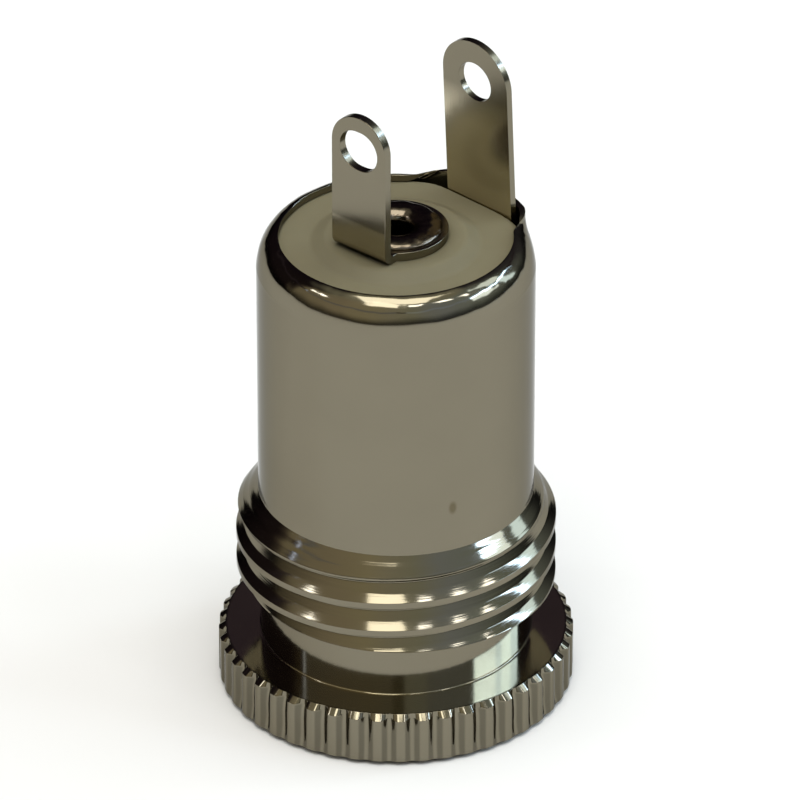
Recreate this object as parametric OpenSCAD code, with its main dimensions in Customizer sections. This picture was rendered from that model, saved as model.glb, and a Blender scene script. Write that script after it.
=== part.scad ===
// Panel mounting dc barrel jack with a turned, nickel plated metal body, for 5.5 x 2.1 mm plugs.
// It stands on its knurled front face: the plug goes in from below, the solder lugs are on top.
// The jack's axis is Z, the solder lugs' holes look along Y, and the front face is at z = 0.

/* [Which piece] */

// Piece to build: all, or the name of one piece

/* [Knurled head] */

// Outside diameter of the head, over the ridges (mm)
head_diameter = 11.05; // [8:0.05:16]
// Height of the head (mm)
head_height = 1.78; // [1:0.02:5]
// Chamfer on both edges of the head (mm)
head_chamfer = 0.21; // [0:0.01:0.6]
// Number of straight ridges round the head
ridge_count = 48; // [20:1:80]
// Depth of the grooves between the ridges (mm)
ridge_depth = 0.26; // [0.05:0.01:0.6]
// Part of each pitch that is ridge top
ridge_top_share = 0.36; // [0.2:0.01:0.7]
// Part of each pitch that is groove floor
ridge_floor_share = 0.14; // [0.1:0.01:0.5]

/* [Thread] */

// Outside diameter of the M10 thread (mm)
thread_diameter = 9.9; // [6:0.05:14]
// Pitch of the thread (mm)
thread_pitch = 1; // [0.5:0.05:1.5]
// Depth of the thread (mm)
thread_depth = 0.6; // [0.2:0.01:1]
// Full turns of the thread
thread_turns = 3; // [1:1:8]
// Height of the first turn's middle over the start of the threaded part (mm)
thread_lead = 0.29; // [0:0.01:3]
// Height of the relief groove behind the head (mm)
relief_height = 1.92; // [0.4:0.01:3]
// Diameter of the relief groove's floor (mm)
relief_diameter = 8.6; // [5:0.05:12]
// Length of the threaded part with its end chamfer (mm)
thread_length = 3.18; // [2:0.01:12]
// Height of the end chamfer (mm)
thread_chamfer = 0.82; // [0:0.01:2]

/* [Tube and rolled rim] */

// Outside diameter of the plain tube (mm)
tube_diameter = 8.51; // [6:0.01:12]
// Height at which the tube's rim starts to roll inwards (mm)
roll_start = 15.02; // [10:0.01:30]
// Outside radius of the rolled rim (mm)
roll_radius = 0.72; // [0.3:0.01:1.2]
// Wall thickness of the tube round the insulator (mm)
rim_wall = 0.25; // [0.15:0.005:0.8]
// Height of the rim's straight sector above the start of the roll (mm)
straight_rim_height = 0.76; // [0.3:0.01:1.2]
// Width of the rim's straight sector, behind the sleeve lug (degrees)
straight_rim_angle = 60; // [20:1:120]

/* [Plug space] */

// Bore of the mouth, for a 5.5 mm plug (mm)
mouth_bore = 5.7; // [4:0.05:8]
// Length of the mouth's land (mm)
mouth_length = 1.5; // [0.5:0.05:4]
// Chamfer at the mouth (mm)
mouth_chamfer = 0.3; // [0:0.01:0.8]
// Diameter of the chamber that holds the plug and the spring leaf (mm)
chamber_diameter = 6.6; // [5:0.05:9]
// Height of the shoulder on which the insulator seats (mm)
shoulder_height = 10; // [6:0.05:20]

/* [Insulator] */

// Gap between the insulator and the metal round it (mm)
insulator_gap = 0.02; // [0:0.005:0.2]
// Diameter of the raised centre on the rear face (mm)
hub_diameter = 4.3; // [3:0.05:7]
// Width of the slope round the raised centre (mm)
hub_slope = 0.45; // [0:0.01:1]
// Height of the raised centre over the rear face (mm)
hub_height = 0.26; // [0:0.01:1]
// Diameter of the nose that carries the pin in the plug space (mm)
nose_diameter = 4.4; // [3:0.05:6]
// Length of the nose (mm)
nose_length = 0.8; // [0:0.05:3]

/* [Centre pin] */

// Diameter of the pin, for a 2.1 mm plug (mm)
pin_diameter = 2.1; // [1:0.05:3]
// Distance of the pin's tip from the front face (mm)
pin_tip_height = 1.9; // [0:0.05:5]
// Chamfer on the pin's tip (mm)
pin_tip_chamfer = 0.35; // [0:0.01:0.8]
// Diameter of the collar in the insulator's nose (mm)
collar_diameter = 3; // [2:0.05:5]
// Height of the collar (mm)
collar_height = 0.6; // [0.2:0.05:2]
// Diameter of the stem through the insulator (mm)
stem_diameter = 1.8; // [1:0.05:2.6]
// Bore of the hollow rear end (mm)
tail_bore = 1; // [0.4:0.01:1.6]
// Depth of the hollow rear end (mm)
tail_bore_depth = 2.5; // [1:0.05:6]
// Diameter of the rolled rear end (mm)
rolled_end_diameter = 2.5; // [2:0.05:4]
// Height of the rolled rear end (mm)
rolled_end_height = 0.2; // [0.1:0.01:0.6]

/* [Pin terminal] */

// Thickness of the pin terminal's sheet (mm)
pin_sheet = 0.28; // [0.15:0.01:0.8]
// Diameter of its ring (mm)
ring_diameter = 3.2; // [2:0.05:5]
// Gap between the ring's hole and the stem (mm)
ring_gap = 0.02; // [0:0.005:0.2]
// Distance of the lug's outer face from the axis (mm)
pin_lug_distance = 1.76; // [1.2:0.01:3]
// Width of the pin lug (mm)
pin_lug_width = 2.1; // [1:0.05:4]
// Height of the pin lug's top over the front face (mm)
pin_lug_top = 20.56; // [17:0.01:30]
// Outside radius of the bend between ring and lug (mm)
pin_bend_radius = 0.4; // [0.2:0.01:1]
// Height of the pin lug's oval hole (mm)
pin_hole_height = 1.3; // [0.5:0.01:2]
// Width of the pin lug's oval hole (mm)
pin_hole_width = 1.46; // [0.5:0.01:3]
// Height of the hole's middle over the front face (mm)
pin_hole_middle = 19.43; // [16:0.01:30]
// Turn of the terminal about the pin, left from riveting (degrees)
pin_terminal_turn = 3.5; // [-20:0.5:20]

/* [Sleeve terminal] */

// Thickness of the sleeve terminal's sheet (mm)
sleeve_sheet = 0.22; // [0.15:0.01:0.8]
// Width of the sleeve lug (mm)
sleeve_lug_width = 2.65; // [1:0.05:4]
// Length of the sleeve lug from the insulator's rear face to its top (mm)
sleeve_lug_length = 5.77; // [3:0.01:12]
// Diameter of the sleeve lug's hole (mm)
sleeve_hole_diameter = 1.31; // [0.5:0.01:3]
// Distance of the hole's middle from the top of the lug (mm)
sleeve_hole_setback = 1.385; // [0.6:0.005:4]
// Inward lean of the sleeve lug (degrees)
sleeve_lug_lean = 3; // [0:0.5:10]
// Sideways place of the strip in the insulator's flat (mm)
sleeve_side_shift = 0.28; // [-0.5:0.01:0.5]
// Gap round the strip, to the insulator's slot and to the shell's bore (mm)
strip_gap = 0.04; // [0:0.005:0.2]
// Width of the spring leaf (mm)
leaf_width = 1.6; // [0.8:0.05:3]
// Distance of the leaf's root from the axis (mm)
leaf_distance = 2.84; // [2.5:0.01:3.5]
// Distance of the leaf's contact ridge from the axis (mm)
contact_distance = 2.62; // [2.3:0.01:3]
// Height of the contact ridge over the front face (mm)
contact_height = 4.6; // [2:0.05:8]
// Height of the leaf's free end over the front face (mm)
leaf_end_height = 3.4; // [1.8:0.05:7]
// Distance of the leaf's free end from the axis (mm)
leaf_end_distance = 2.92; // [2.3:0.01:3.5]

/* [Hidden] */

$fn = 96;
slack = 0.01;

head_radius = head_diameter / 2;
thread_radius = thread_diameter / 2;
relief_radius = relief_diameter / 2;
tube_radius = tube_diameter / 2;
rear_bore_radius = tube_radius - rim_wall;
roll_centre_radius = tube_radius - roll_radius;
lip_underside = roll_start + roll_radius - rim_wall;
straight_rim_top = roll_start + straight_rim_height;
thread_start = head_height + relief_height;
thread_end = thread_start + thread_length;
chamfer_start = thread_end - thread_chamfer;
first_groove = thread_start + thread_lead;
groove_half_mouth = thread_depth * tan(30) + thread_pitch / 16;
shell_top = straight_rim_top + 1;

insulator_radius = rear_bore_radius - insulator_gap;
insulator_face = lip_underside - insulator_gap;
insulator_edge = roll_radius - rim_wall;
hub_radius = hub_diameter / 2;
ring_seat = insulator_face + hub_height;
nose_front = shoulder_height - nose_length;
rivet_seat = ring_seat + pin_sheet;

strip_reach = sleeve_lug_width / 2 + abs(sleeve_side_shift);
strip_outer = sqrt(pow(rear_bore_radius - strip_gap, 2) - pow(strip_reach, 2));
strip_inner = strip_outer - sleeve_sheet;
insulator_flat = strip_inner - strip_gap;
jog_top = shoulder_height + sleeve_sheet;
leaf_outer = leaf_distance + sleeve_sheet;

// 2D outline, in x-z, of a lug with a round top: its middle bottom point is the origin.
module lug_outline(width, height) {
    translate([-width / 2, 0])
        square([width, height - width / 2]);
    translate([0, height - width / 2])
        circle(d = width);
}

// Stands a 2D outline drawn in x-z up as a plate between two distances from the axis, along y.
module plate_along_y(near, far) {
    translate([0, far, 0])
        rotate([90, 0, 0])
            linear_extrude(height = far - near)
                children();
}

// Bends a 2D side view drawn in y-z into a strip of the given width, across x.
module strip_across_x(width) {
    translate([-width / 2, 0, 0])
        rotate([90, 0, 90])
            linear_extrude(height = width)
                children();
}

// Straight-knurled head: a star-shaped prism cut to the head's turned outline.
module knurled_head() {
    pitch = 360 / ridge_count;
    top = pitch * ridge_top_share / 2;
    floor_edge = pitch * (1 - ridge_floor_share) / 2;
    floor_radius = head_radius - ridge_depth;
    corner_radius = (head_radius + slack) / cos(top);
    star = [
        for (ridge = [0 : ridge_count - 1])
            for (corner = [[-floor_edge, floor_radius], [-top, corner_radius],
                           [top, corner_radius], [floor_edge, floor_radius]])
                corner[1] * [cos(ridge * pitch + corner[0]), sin(ridge * pitch + corner[0])]
    ];
    intersection() {
        linear_extrude(height = head_height)
            polygon(star);
        rotate_extrude()
            polygon([
                [0, 0],
                [head_radius - head_chamfer, 0],
                [head_radius, head_chamfer],
                [head_radius, head_height - head_chamfer],
                [head_radius - head_chamfer, head_height],
                [0, head_height]
            ]);
    }
}

// Half outline, up to the axis, of a turned end whose edge is a quarter round of the given radius.
module rounded_end(edge_radius, bottom) {
    translate([0, bottom])
        square([roll_centre_radius + edge_radius, roll_start - bottom]);
    translate([0, bottom])
        square([roll_centre_radius, roll_start + edge_radius - bottom]);
    translate([roll_centre_radius, roll_start])
        circle(r = edge_radius);
}

// Turned outside from the relief groove to the rolled rim, solid and without the thread's turns.
module turned_body() {
    rotate_extrude() {
        polygon([
            [0, head_chamfer],
            [relief_radius, head_chamfer],
            [relief_radius, thread_start],
            [thread_radius, thread_start],
            [thread_radius, chamfer_start],
            [tube_radius, thread_end],
            [0, thread_end]
        ]);
        rounded_end(roll_radius, thread_start);
    }
}

// One turn of the thread, as a ring-shaped groove with the 60 degree metric form.
module thread_groove(height) {
    rotate_extrude()
        polygon([
            [thread_radius - thread_depth, height - thread_pitch / 16],
            [thread_radius + slack, height - groove_half_mouth - slack],
            [thread_radius + slack, height + groove_half_mouth + slack],
            [thread_radius - thread_depth, height + thread_pitch / 16]
        ]);
}

// A ring's sector of the rim, centred behind the sleeve lug, between two radii.
module rim_sector(inner, outer, bottom, top) {
    rotate([0, 0, 90 - straight_rim_angle / 2])
        rotate_extrude(angle = straight_rim_angle)
            translate([inner, bottom])
                square([outer - inner, top - bottom]);
}

// Mouth, plug chamber and rear bore, whose end follows the underside of the rolled lip.
module shell_bores() {
    translate([0, 0, -slack])
        cylinder(d = mouth_bore, h = mouth_length + 2 * slack);
    translate([0, 0, -slack])
        cylinder(d1 = mouth_bore + 2 * (mouth_chamfer + slack), d2 = mouth_bore,
                 h = mouth_chamfer + slack);
    translate([0, 0, mouth_length])
        cylinder(d = chamber_diameter, h = shoulder_height - mouth_length + slack);
    rotate_extrude() {
        rounded_end(roll_radius - rim_wall, shoulder_height);
        translate([0, shoulder_height])
            square([roll_centre_radius, shell_top - shoulder_height]);
    }
    rim_sector(roll_centre_radius - rim_wall, rear_bore_radius, roll_start - rim_wall, shell_top);
}

module shell() {
    color("silver")
        difference() {
            union() {
                knurled_head();
                turned_body();
                rim_sector(roll_centre_radius - rim_wall, tube_radius, roll_start - rim_wall,
                           straight_rim_top);
            }
            for (turn = [0 : thread_turns - 1])
                thread_groove(first_groove + turn * thread_pitch);
            shell_bores();
        }
}

// Insulator before its flat, slot and pin hole are cut.
module insulator_blank() {
    rotate_extrude() {
        polygon([
            [0, shoulder_height],
            [insulator_radius, shoulder_height],
            [insulator_radius, insulator_face - insulator_edge],
            [insulator_radius - insulator_edge, insulator_face],
            [hub_radius + hub_slope, insulator_face],
            [hub_radius, ring_seat],
            [0, ring_seat]
        ]);
        translate([insulator_radius - insulator_edge, insulator_face - insulator_edge])
            intersection() {
                circle(r = insulator_edge);
                square(insulator_edge);
            }
    }
    translate([0, 0, nose_front])
        cylinder(d = nose_diameter, h = nose_length + slack);
}

module rear_insulator() {
    slot_width = sleeve_lug_width + 2 * strip_gap;
    color("ivory")
        difference() {
            insulator_blank();
            translate([-insulator_radius, insulator_flat, nose_front])
                cube([2 * insulator_radius, insulator_radius, ring_seat]);
            translate([sleeve_side_shift - slot_width / 2, leaf_distance - strip_gap, nose_front])
                cube([slot_width, insulator_radius, jog_top + strip_gap - nose_front]);
            translate([0, 0, nose_front - slack])
                cylinder(d = collar_diameter + 2 * insulator_gap, h = collar_height + slack);
            translate([0, 0, nose_front])
                cylinder(d = stem_diameter + 2 * insulator_gap, h = ring_seat);
        }
}

module centre_pin() {
    tip_radius = pin_diameter / 2;
    stem_radius = stem_diameter / 2;
    bore_radius = tail_bore / 2;
    rolled_radius = rolled_end_diameter / 2;
    roll_top = rivet_seat + rolled_end_height;
    roll_crest = (bore_radius + rolled_radius) / 2;
    color("goldenrod")
        rotate_extrude()
            polygon([
                [0, pin_tip_height],
                [tip_radius - pin_tip_chamfer, pin_tip_height],
                [tip_radius, pin_tip_height + pin_tip_chamfer],
                [tip_radius, nose_front],
                [collar_diameter / 2, nose_front],
                [collar_diameter / 2, nose_front + collar_height],
                [stem_radius, nose_front + collar_height],
                [stem_radius, rivet_seat],
                [rolled_radius, rivet_seat],
                [rolled_radius, rivet_seat + rolled_end_height / 3],
                [roll_crest, roll_top],
                [bore_radius + rolled_end_height / 3, roll_top - rolled_end_height / 4],
                [bore_radius, rivet_seat],
                [bore_radius, rivet_seat - tail_bore_depth],
                [0, rivet_seat - tail_bore_depth - bore_radius]
            ]);
}

// Side view, in y-z, of the pin terminal: ring's sheet, bend and lug.
module pin_terminal_side() {
    bend_middle = -pin_lug_distance + pin_bend_radius;
    lug_height = pin_lug_top - ring_seat;
    translate([bend_middle, 0])
        square([-bend_middle, pin_sheet]);
    translate([-pin_lug_distance, pin_bend_radius])
        square([pin_sheet, lug_height - pin_bend_radius]);
    translate([bend_middle, pin_bend_radius])
        intersection() {
            difference() {
                circle(r = pin_bend_radius);
                circle(r = pin_bend_radius - pin_sheet);
            }
            translate([-pin_bend_radius, -pin_bend_radius])
                square(pin_bend_radius);
        }
}

module pin_lug_hole() {
    straight = (pin_hole_width - pin_hole_height) / 2;
    for (side = [-straight, straight])
        translate([side, 0, pin_hole_middle])
            rotate([90, 0, 0])
                cylinder(d = pin_hole_height, h = pin_lug_distance + 1);
    translate([-straight, -pin_lug_distance - 1, pin_hole_middle - pin_hole_height / 2])
        cube([2 * straight, pin_lug_distance + 1, pin_hole_height]);
}

module pin_terminal() {
    stem_hole = stem_diameter + 2 * ring_gap;
    color("gainsboro")
        rotate([0, 0, pin_terminal_turn])
            difference() {
                union() {
                    translate([0, 0, ring_seat])
                        cylinder(d = ring_diameter, h = pin_sheet);
                    intersection() {
                        translate([0, 0, ring_seat])
                            strip_across_x(pin_lug_width)
                                pin_terminal_side();
                        translate([0, 0, ring_seat])
                            plate_along_y(-pin_lug_distance, 0)
                                lug_outline(pin_lug_width, pin_lug_top - ring_seat);
                    }
                }
                translate([0, 0, ring_seat - slack])
                    cylinder(d = stem_hole, h = pin_sheet + 2 * slack);
                pin_lug_hole();
            }
}

// Leaning lug of the sleeve terminal, from the insulator's rear face up.
module sleeve_lug() {
    hole_height = sleeve_lug_length - sleeve_hole_setback;
    translate([0, strip_inner, insulator_face])
        rotate([sleeve_lug_lean, 0, 0])
            difference() {
                plate_along_y(0, sleeve_sheet)
                    lug_outline(sleeve_lug_width, sleeve_lug_length);
                translate([0, sleeve_sheet + slack, hole_height])
                    rotate([90, 0, 0])
                        cylinder(d = sleeve_hole_diameter, h = sleeve_sheet + 2 * slack);
            }
}

// Spring leaf with its contact ridge, from the shoulder towards the mouth.
module spring_leaf() {
    strip_across_x(leaf_width)
        polygon([
            [leaf_distance, jog_top],
            [leaf_distance, shoulder_height - sleeve_sheet],
            [contact_distance, contact_height],
            [leaf_end_distance, leaf_end_height],
            [leaf_end_distance + sleeve_sheet, leaf_end_height],
            [contact_distance + sleeve_sheet, contact_height],
            [leaf_outer, shoulder_height - sleeve_sheet],
            [leaf_outer, jog_top]
        ]);
}

module sleeve_terminal() {
    color("gainsboro")
        translate([sleeve_side_shift, 0, 0]) {
            sleeve_lug();
            strip_across_x(sleeve_lug_width) {
                translate([strip_inner, shoulder_height])
                    square([sleeve_sheet, insulator_face - shoulder_height + slack]);
                translate([leaf_distance, shoulder_height])
                    square([strip_outer - leaf_distance, sleeve_sheet]);
            }
            spring_leaf();
        }
}

shell();
rear_insulator();
centre_pin();
pin_terminal();
sleeve_terminal();
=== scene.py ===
"""Panel mounting dc barrel jack: the pieces' visible shapes and finishes, and the stage they stand on."""

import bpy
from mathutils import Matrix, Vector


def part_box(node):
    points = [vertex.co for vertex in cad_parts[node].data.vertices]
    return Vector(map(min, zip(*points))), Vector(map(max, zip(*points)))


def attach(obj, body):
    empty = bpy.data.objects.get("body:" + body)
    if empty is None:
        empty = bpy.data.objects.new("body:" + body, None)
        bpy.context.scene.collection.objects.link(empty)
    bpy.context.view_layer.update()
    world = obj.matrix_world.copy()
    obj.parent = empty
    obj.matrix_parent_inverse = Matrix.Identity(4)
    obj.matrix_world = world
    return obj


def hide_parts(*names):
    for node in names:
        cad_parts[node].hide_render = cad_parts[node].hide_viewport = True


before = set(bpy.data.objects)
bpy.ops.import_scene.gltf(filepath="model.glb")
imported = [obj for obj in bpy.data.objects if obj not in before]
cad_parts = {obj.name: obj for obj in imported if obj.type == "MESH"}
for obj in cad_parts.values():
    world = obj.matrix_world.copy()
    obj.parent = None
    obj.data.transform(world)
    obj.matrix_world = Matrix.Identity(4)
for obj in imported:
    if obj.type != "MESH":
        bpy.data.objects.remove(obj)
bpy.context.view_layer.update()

import math

import bmesh
import bpy
from bpy.props import FloatProperty, FloatVectorProperty, IntProperty, PointerProperty
from mathutils import Matrix, Vector, noise

bl_info = {
    "name": "Dc barrel jack",
    "version": (1, 0, 0),
    "blender": (4, 5, 0),
    "location": "3D View > Sidebar > Jack",
    "description": "Builds a turned metal dc jack with its insulator, pin and solder lugs",
    "category": "Add Mesh",
}

MM = 0.001
SHELL_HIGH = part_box("shell")[1]
PLUG_LOW, PLUG_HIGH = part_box("rear_insulator")
PIN_LOW, PIN_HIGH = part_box("centre_pin")
TAB_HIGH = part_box("pin_terminal")[1]
STRAP_LOW, STRAP_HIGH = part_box("sleeve_terminal")


def length(name, description, mm):
    """A size, given in millimetres, that the sidebar shows as a distance."""
    return FloatProperty(name=name, description=description, default=mm * MM, min=0.0, unit="LENGTH")


def turn(name, description, degrees):
    """An angle that the sidebar shows in degrees."""
    return FloatProperty(name=name, description=description, default=math.radians(degrees), subtype="ANGLE")


def finish(name, description, hex_colour):
    """A colour that is picked in the sidebar, from its sRGB hex value."""
    return FloatVectorProperty(
        name=name, description=description, default=linear(hex_colour)[:3], size=3, min=0, max=1, subtype="COLOR"
    )


def linear(hex_colour):
    """Linear RGBA of an sRGB hex colour such as "8E8773"."""
    parts = [int(hex_colour[i : i + 2], 16) / 255 for i in (0, 2, 4)]
    return (*[c / 12.92 if c <= 0.04045 else ((c + 0.055) / 1.055) ** 2.4 for c in parts], 1.0)


class JackShellSizes(bpy.types.PropertyGroup):
    """Sizes of the turned shell."""

    ridges: IntProperty(name="Ridges", description="Straight ridges round the head", default=48, min=12)
    ridge_depth: length("Ridge depth", "Depth of the knurl's grooves at the head's top edge", 0.24)
    head_height: length("Head height", "Height of the knurled head", 1.78)
    head_chamfer: length("Head chamfer", "Height of the chamfer on both edges of the head", 0.16)
    head_chamfer_width: length("Head chamfer width", "Width of the chamfer on both edges of the head", 0.22)
    relief_radius: length("Relief radius", "Radius of the groove behind the head", 4.21)
    relief_top: length("Relief top", "Height at which the threaded part starts", 3.70)
    thread_radius: length("Thread radius", "Radius over the thread's crests", 4.95)
    thread_pitch: length("Thread pitch", "Rise of the thread in one turn", 1.0)
    thread_depth: length("Thread depth", "Depth of the thread's grooves", 0.39)
    thread_crest: length("Thread crest", "Width of the thread's crests", 0.19)
    thread_lift: length("Thread lift", "Height of the first crest where the thread's turn starts", 2.60)
    chamfer_start: length("Chamfer start", "Height at which the thread's end chamfer starts", 6.06)
    tool_feed: length("Tool feed", "Distance between the rings the tool left on the chamfer", 0.33)
    tool_marks: length("Tool marks", "Height of the rings the tool left on the chamfer", 0.005)
    chamfer_end: length("Chamfer end", "Height at which the tube starts", 6.88)
    tube_radius: length("Tube radius", "Outside radius of the tube", 4.255)
    roll_start: length("Roll start", "Height at which the rim starts to roll inwards", 14.70)
    roll_length: length("Roll length", "Length of the rolled rim's outside, measured along it", 1.30)
    lip_radius: length("Lip radius", "Radius of the opening that the rolled rim leaves", 3.57)
    rim_wall: length("Rim wall", "Wall of the tube round the insulator", 0.25)
    mouth_radius: length("Mouth radius", "Radius of the plug's mouth", 2.85)
    mouth_length: length("Mouth length", "Length of the mouth's land", 1.5)
    mouth_chamfer: length("Mouth chamfer", "Chamfer at the mouth", 0.3)
    chamber_radius: length("Chamber radius", "Radius of the plug's chamber", 3.3)
    shoulder: length("Shoulder", "Height of the insulator's seat", 10.0)
    straight_middle: turn("Straight middle", "Direction of the rim's straight part", 88)
    straight_half: turn("Straight half", "Half the angle of the rim's straight part", 26)
    straight_blend: turn("Straight blend", "Angle over which the rim goes from straight to rolled", 16)
    rim_unevenness: length("Rim unevenness", "How far the rolling tool left the rim uneven", 0.016)


class JackInnerSizes(bpy.types.PropertyGroup):
    """Sizes of the insulator, the pin and the two terminals."""

    face_height: length("Face height", "Height of the insulator's rear face", 15.47)
    edge_radius: length("Edge radius", "Rounding of the insulator's edge under the rolled lip", 0.47)
    hub_radius: length("Hub radius", "Radius of the insulator's raised centre", 2.15)
    hub_slope: length("Hub slope", "Width of the slope round the raised centre", 0.45)
    pin_radius: length("Pin radius", "Radius of the pin where the plug goes over it", 1.05)
    stem_radius: length("Stem radius", "Radius of the pin's stem", 0.9)
    collar_height: length("Collar height", "Height of the pin's collar", 0.6)
    tail_bore: length("Tail bore", "Radius of the pin's hollow rear end", 0.5)
    tail_depth: length("Tail depth", "Depth of the pin's hollow rear end", 2.5)
    sheet: length("Pin sheet", "Thickness of the pin terminal's sheet", 0.28)
    ring_radius: length("Ring radius", "Radius of the pin terminal's ring", 1.6)
    tab_face: length("Pin lug place", "Distance of the pin lug's outer face from the axis", 1.76)
    tab_width: length("Pin lug width", "Width of the pin lug", 2.1)
    tab_turn: turn("Pin lug turn", "Turn of the pin lug about the axis", 3.5)
    tab_hole_width: length("Pin hole width", "Width of the pin lug's oval hole", 1.46)
    tab_hole_height: length("Pin hole height", "Height of the pin lug's oval hole", 1.3)
    tab_hole_setback: length("Pin hole setback", "Distance of the hole's middle from the lug's top", 1.13)
    flange_radius: length("Flange radius", "Radius of the pin's rolled end", 1.42)
    crest_radius: length("Crest radius", "Radius of the rolled end's highest ring", 0.98)
    bend_radius: length("Bend radius", "Middle radius of the terminals' bends", 0.26)
    strap_sheet: length("Sleeve sheet", "Thickness of the sleeve terminal's sheet", 0.22)
    strap_gap: length("Sleeve gap", "Gap between the insulator's flat and the sleeve terminal", 0.04)
    strap_length: length("Sleeve lug length", "Length of the sleeve lug over the insulator", 5.77)
    strap_lean: turn("Sleeve lug lean", "Inward lean of the sleeve lug", 3)
    strap_hole: length("Sleeve hole radius", "Radius of the sleeve lug's hole", 0.655)
    strap_hole_setback: length("Sleeve hole setback", "Distance of the hole's middle from the lug's top", 1.385)
    leaf_width: length("Leaf width", "Width of the spring leaf", 1.6)
    sheet_edge: length("Sheet edge", "Rounding that plating leaves on a stamped edge", 0.035)


class JackFinishes(bpy.types.PropertyGroup):
    """Colours of the jack's finishes."""

    nickel: finish("Nickel", "Bright nickel plating on the turned shell", "7E7868")
    pin_nickel: finish("Pin nickel", "Nickel plating on the pin, stretched where it was rolled", "6B6256")
    sheet_nickel: finish("Sheet nickel", "Nickel plating on the stamped terminals", "7E7868")
    nylon: finish("Nylon", "Moulded cream nylon of the insulator", "767058")
    smudge: finish("Smudge", "Dried spot on the tube", "5E5540")
    floor: finish("Floor", "Pale paper that the jack stands on", "F4F4F2")


class JackStage(bpy.types.PropertyGroup):
    """Camera and lamps."""

    camera_azimuth: turn("Camera azimuth", "0 looks along +Y, 90 along -X", 43.5)
    camera_elevation: turn("Camera elevation", "Height of the camera above the horizon", 32.17)
    camera_distance: length("Camera distance", "Distance of the camera from its target", 276.8)
    camera_lens: FloatProperty(name="Lens", description="Focal length in millimetres", default=404.8, min=1)
    target_height: length("Target height", "Height of the point that sets the camera's place", 8.008)
    rise: length("Rise", "How far above the target the camera points", 1.538)
    drift: length("Drift", "How far to the right of the target the camera points", 0.123)
    lamp_distance: length("Lamp distance", "Distance of the lamps from the jack", 600)


# -------- shaping


def smooth(x, low, high):
    """0 below low, 1 above high, and a smooth rise between them."""
    t = min(max((x - low) / (high - low), 0.0), 1.0)
    return t * t * (3 - 2 * t)


def soft_least(a, b, radius):
    """The lesser of a and b, with the corner between them rounded over about radius."""
    gap = max(radius - abs(a - b), 0.0) / radius if radius else 0.0
    return min(a, b) - gap * gap * radius / 4


def rounded(corners, steps=4):
    """Outline points of (r, z, radius) corners, each corner rounded by an arc with steps + 1 points."""
    points = []
    for i, (r, z, radius) in enumerate(corners):
        here = Vector((r, z))
        if not radius or i in (0, len(corners) - 1):
            points.append((r, z))
            continue
        back = (Vector(corners[i - 1][:2]) - here).normalized()
        ahead = (Vector(corners[i + 1][:2]) - here).normalized()
        half = back.angle(ahead) / 2
        reach = radius / math.tan(half)
        centre = here + (back + ahead).normalized() * (radius / math.sin(half))
        start, end = here + back * reach - centre, here + ahead * reach - centre
        for k in range(steps + 1):
            arm = start.slerp(end, k / steps)
            points.append(tuple(centre + arm * (radius / arm.length)))
    return points


def fan(count):
    """Evenly spaced angles round the axis."""
    return [2 * math.pi * i / count for i in range(count)]


def point_at(mesh, r, angle, z):
    """A new point at a distance from the axis, an angle round it and a height."""
    return mesh.verts.new((r * math.cos(angle), r * math.sin(angle), z))


def turned(mesh, rows, angles, shape, closed=False):
    """Adds a turned surface: a ring of points for each (r, z) row, each moved by shape(r, z, angle, row)."""
    rings = []
    for row, (r, z) in enumerate(rows):
        places = [(a, *shape(r, z, a, row)) for a in angles]
        rings.append([point_at(mesh, wide, a, high) for a, wide, high in places])
    join_rings(mesh, rings, closed)
    return rings


def join_rings(mesh, rings, closed=False):
    """Faces between each ring of points and the next."""
    count = len(rings[0])
    pairs = list(zip(rings, rings[1:])) + ([(rings[-1], rings[0])] if closed else [])
    for low, high in pairs:
        for i in range(count):
            k = (i + 1) % count
            mesh.faces.new((low[i], low[k], high[k], high[i]))


# Roundings of turned edges
EDGE, FINE_EDGE = 0.05 * MM, 0.03 * MM
# Points nearer to each other than this are one point
SAME_PLACE = 0.0004 * MM


def make_piece(name, mesh, material, node, weighted=True):
    """Turns a bmesh into a smooth shaded piece that stands for its CAD node and rides on the root."""
    bmesh.ops.remove_doubles(mesh, verts=mesh.verts, dist=SAME_PLACE)
    bmesh.ops.dissolve_degenerate(mesh, edges=mesh.edges, dist=SAME_PLACE / 2)
    bmesh.ops.recalc_face_normals(mesh, faces=mesh.faces)
    for face in mesh.faces:
        face.smooth = True
    # large faces keep their own direction, so that flats stay flat beside rounded edges
    normals = [sum((f.normal * f.calc_area() for f in v.link_faces), Vector()).normalized() for v in mesh.verts]
    data = bpy.data.meshes.new(name)
    mesh.to_mesh(data)
    mesh.free()
    if weighted:
        data.normals_split_custom_set_from_vertices(normals)
    piece = bpy.data.objects.new(name, data)
    bpy.context.scene.collection.objects.link(piece)
    data.materials.append(material)
    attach(piece, "root")
    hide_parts(node)
    return piece


# -------- shell


# Points across one ridge, and the half width and flank of its top, as shares of the pitch
RIDGE_STATIONS = (-0.5, -0.43, -0.36, -0.27, -0.17, -0.06, 0.06, 0.17, 0.27, 0.36, 0.43)
RIDGE_HALF, RIDGE_FLANK = 0.16, 0.26


def ridge_angles(ridges):
    """Angles round the head, closest together at the ridges' edges."""
    return [2 * math.pi * (i + station) / ridges for i in range(ridges) for station in RIDGE_STATIONS]


def ridge_radius(angle, ridges, top, depth):
    """Radius of the knurled head's side: a flat ridge, straight flanks and a narrow groove in each pitch."""
    pitch = 2 * math.pi / ridges
    share = abs((angle / pitch + 0.5) % 1.0 - 0.5)
    fall = soft_least(max((share - RIDGE_HALF) / RIDGE_FLANK, 0.0), 1.0, 0.25)
    return top - depth * fall


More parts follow.
